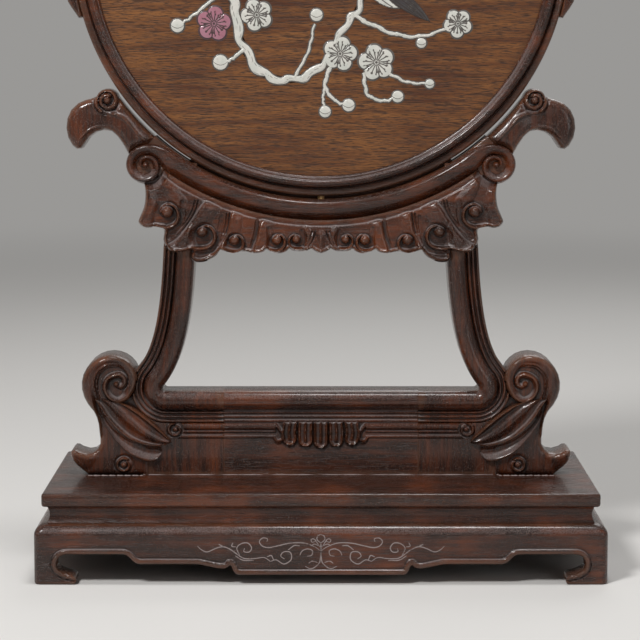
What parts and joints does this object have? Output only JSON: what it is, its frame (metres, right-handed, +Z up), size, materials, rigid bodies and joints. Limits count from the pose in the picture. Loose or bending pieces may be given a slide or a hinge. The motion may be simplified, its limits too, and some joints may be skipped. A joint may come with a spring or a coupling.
{
  "type": "chinese table screen",
  "caption": "Round table screen: a wooden disc with shell inlay in a moulded ring, lifting out of a carved cradle with scroll feet on a low waisted stand.",
  "frame": {"origin": "on the table, under the middle of the base", "axes": "+Z up, front towards -Y, +X to the right as seen from the front"},
  "size_m": [0.2634, 0.1224, 0.405],
  "materials": {
    "dark_wood": "satin wax",
    "hidden_wood": "bare",
    "panel_wood": "satin",
    "shell": "polished",
    "pink_shell": "polished",
    "dark_shell": "polished",
    "bamboo": "bare"
  },
  "bodies": {
    "stand": {"base_top_board": "dark_wood", "base_waist_front": "dark_wood", "base_waist_back": "dark_wood", "base_waist_left": "dark_wood", "base_waist_right": "dark_wood", "base_apron_front": "dark_wood", "base_apron_back": "dark_wood", "base_apron_left": "dark_wood", "base_apron_right": "dark_wood", "corner_blocks": "hidden_wood", "lower_rail": "dark_wood", "side_post_left": "dark_wood", "side_post_right": "dark_wood", "scroll_bracket_left": "dark_wood", "scroll_bracket_right": "dark_wood", "bracket_dowels": "hidden_wood", "cradle_rail": "dark_wood", "carved_apron": "dark_wood", "cradle_wing_left": "dark_wood", "cradle_wing_right": "dark_wood", "wing_dowels": "hidden_wood"},
    "screen": {"ring_lower": "dark_wood", "ring_upper": "dark_wood", "ring_keys": "hidden_wood", "screen_panel": "panel_wood", "inlay_branches": "shell", "inlay_blossoms": "shell", "inlay_pink_blossom": "pink_shell", "inlay_buds": "shell", "inlay_bird_body": "shell", "inlay_bird_wings": "dark_shell", "ear_left": "dark_wood", "ear_right": "dark_wood", "locating_peg": "bamboo"}
  },
  "joints": [
    {"name": "screen_lift", "type": "slide", "parent": "stand", "child": "screen", "axis": [0, 0, 1], "range_m": [0, 0.065]}
  ]
}
